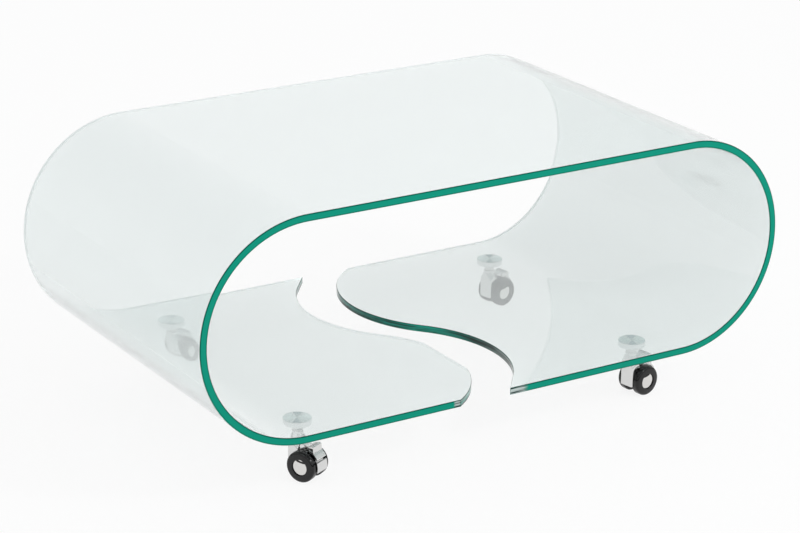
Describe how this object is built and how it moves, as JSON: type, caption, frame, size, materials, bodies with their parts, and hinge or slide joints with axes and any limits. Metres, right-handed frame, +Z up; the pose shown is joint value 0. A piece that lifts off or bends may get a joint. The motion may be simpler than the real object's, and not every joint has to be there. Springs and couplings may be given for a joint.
{
  "type": "waterfall coffee table",
  "caption": "Low table made of one bent sheet of clear glass, closed to a rounded loop with a curved gap in its base, on swivelling twin-wheel castors with foot brakes.",
  "frame": {"origin": "on the floor below the middle of the table", "axes": "+X along the table, +Y to its back, +Z up"},
  "size_m": [1.07, 0.6, 0.45],
  "materials": {
    "clear_glass": "polished, with polished green edges",
    "clear_adhesive": "clear cured film",
    "turned_steel": "face turned, rim polished",
    "plated_steel": "bright plated",
    "white_nylon": "moulded",
    "spring_steel": "phosphated",
    "chromed_zinc": "die-cast and chrome plated",
    "black_nylon": "glossy moulded",
    "chromed_cap": "chrome plated"
  },
  "bodies": {
    "table": {"glass_loop": "clear_glass", "bond_film_fl": "clear_adhesive", "puck_fl": "turned_steel", "stem_fl": "plated_steel", "thrust_washer_fl": "white_nylon", "retaining_ring_fl": "spring_steel", "bond_film_fr": "clear_adhesive", "puck_fr": "turned_steel", "stem_fr": "plated_steel", "thrust_washer_fr": "white_nylon", "retaining_ring_fr": "spring_steel", "bond_film_rr": "clear_adhesive", "puck_rr": "turned_steel", "stem_rr": "plated_steel", "thrust_washer_rr": "white_nylon", "retaining_ring_rr": "spring_steel", "bond_film_rl": "clear_adhesive", "puck_rl": "turned_steel", "stem_rl": "plated_steel", "thrust_washer_rl": "white_nylon", "retaining_ring_rl": "spring_steel"},
    "swivel_fl": {"hood_fl": "chromed_zinc", "axle_fl": "plated_steel", "lever_pin_fl": "plated_steel"},
    "left_wheel_fl": {"wheel_left_fl": "black_nylon", "hub_cap_left_fl": "chromed_cap"},
    "right_wheel_fl": {"wheel_right_fl": "black_nylon", "hub_cap_right_fl": "chromed_cap"},
    "brake_fl": {"brake_lever_fl": "chromed_zinc"},
    "swivel_fr": {"hood_fr": "chromed_zinc", "axle_fr": "plated_steel", "lever_pin_fr": "plated_steel"},
    "left_wheel_fr": {"wheel_left_fr": "black_nylon", "hub_cap_left_fr": "chromed_cap"},
    "right_wheel_fr": {"wheel_right_fr": "black_nylon", "hub_cap_right_fr": "chromed_cap"},
    "brake_fr": {"brake_lever_fr": "chromed_zinc"},
    "swivel_rr": {"hood_rr": "chromed_zinc", "axle_rr": "plated_steel", "lever_pin_rr": "plated_steel"},
    "left_wheel_rr": {"wheel_left_rr": "black_nylon", "hub_cap_left_rr": "chromed_cap"},
    "right_wheel_rr": {"wheel_right_rr": "black_nylon", "hub_cap_right_rr": "chromed_cap"},
    "brake_rr": {"brake_lever_rr": "chromed_zinc"},
    "swivel_rl": {"hood_rl": "chromed_zinc", "axle_rl": "plated_steel", "lever_pin_rl": "plated_steel"},
    "left_wheel_rl": {"wheel_left_rl": "black_nylon", "hub_cap_left_rl": "chromed_cap"},
    "right_wheel_rl": {"wheel_right_rl": "black_nylon", "hub_cap_right_rl": "chromed_cap"},
    "brake_rl": {"brake_lever_rl": "chromed_zinc"}
  },
  "joints": [
    {"name": "swivel_fl_turn", "type": "hinge", "parent": "table", "child": "swivel_fl", "pos_m": [-0.328, -0.223, 0.06], "axis": [0, 0, 1], "continuous": true},
    {"name": "left_wheel_fl_roll", "type": "hinge", "parent": "swivel_fl", "child": "left_wheel_fl", "pos_m": [-0.30574, -0.23328, 0.025], "axis": [0.8988, 0.4384, 0], "continuous": true},
    {"name": "right_wheel_fl_roll", "type": "hinge", "parent": "swivel_fl", "child": "right_wheel_fl", "pos_m": [-0.3336, -0.24687, 0.025], "axis": [0.8988, 0.4384, 0], "continuous": true},
    {"name": "brake_fl_press", "type": "hinge", "parent": "swivel_fl", "child": "brake_fl", "pos_m": [-0.32142, -0.23648, 0.0535], "axis": [0.8988, 0.4384, 0], "range_deg": [0, 4]},
    {"name": "swivel_fr_turn", "type": "hinge", "parent": "table", "child": "swivel_fr", "pos_m": [0.308, -0.223, 0.06], "axis": [0, 0, 1], "continuous": true},
    {"name": "left_wheel_fr_roll", "type": "hinge", "parent": "swivel_fr", "child": "left_wheel_fr", "pos_m": [0.32434, -0.20472, 0.025], "axis": [-0.1564, 0.9877, 0], "continuous": true},
    {"name": "right_wheel_fr_roll", "type": "hinge", "parent": "swivel_fr", "child": "right_wheel_fr", "pos_m": [0.32919, -0.23534, 0.025], "axis": [-0.1564, 0.9877, 0], "continuous": true},
    {"name": "brake_fr_press", "type": "hinge", "parent": "swivel_fr", "child": "brake_fr", "pos_m": [0.32282, -0.22065, 0.0535], "axis": [-0.1564, 0.9877, 0], "range_deg": [0, 4]},
    {"name": "swivel_rr_turn", "type": "hinge", "parent": "table", "child": "swivel_rr", "pos_m": [0.328, 0.223, 0.06], "axis": [0, 0, 1], "continuous": true},
    {"name": "left_wheel_rr_roll", "type": "hinge", "parent": "swivel_rr", "child": "left_wheel_rr", "pos_m": [0.34402, 0.24156, 0.025], "axis": [-0.1736, 0.9848, 0], "continuous": true},
    {"name": "right_wheel_rr_roll", "type": "hinge", "parent": "swivel_rr", "child": "right_wheel_rr", "pos_m": [0.3494, 0.21104, 0.025], "axis": [-0.1736, 0.9848, 0], "continuous": true},
    {"name": "brake_rr_press", "type": "hinge", "parent": "swivel_rr", "child": "brake_rr", "pos_m": [0.34277, 0.2256, 0.0535], "axis": [-0.1736, 0.9848, 0], "range_deg": [0, 4]},
    {"name": "swivel_rl_turn", "type": "hinge", "parent": "table", "child": "swivel_rl", "pos_m": [-0.308, 0.223, 0.06], "axis": [0, 0, 1], "continuous": true},
    {"name": "left_wheel_rl_roll", "type": "hinge", "parent": "swivel_rl", "child": "left_wheel_rl", "pos_m": [-0.29733, 0.24508, 0.025], "axis": [-0.4226, 0.9063, 0], "continuous": true},
    {"name": "right_wheel_rl_roll", "type": "hinge", "parent": "swivel_rl", "child": "right_wheel_rl", "pos_m": [-0.28423, 0.21698, 0.025], "axis": [-0.4226, 0.9063, 0], "continuous": true},
    {"name": "brake_rl_press", "type": "hinge", "parent": "swivel_rl", "child": "brake_rl", "pos_m": [-0.2944, 0.22934, 0.0535], "axis": [-0.4226, 0.9063, 0], "range_deg": [0, 4]}
  ]
}
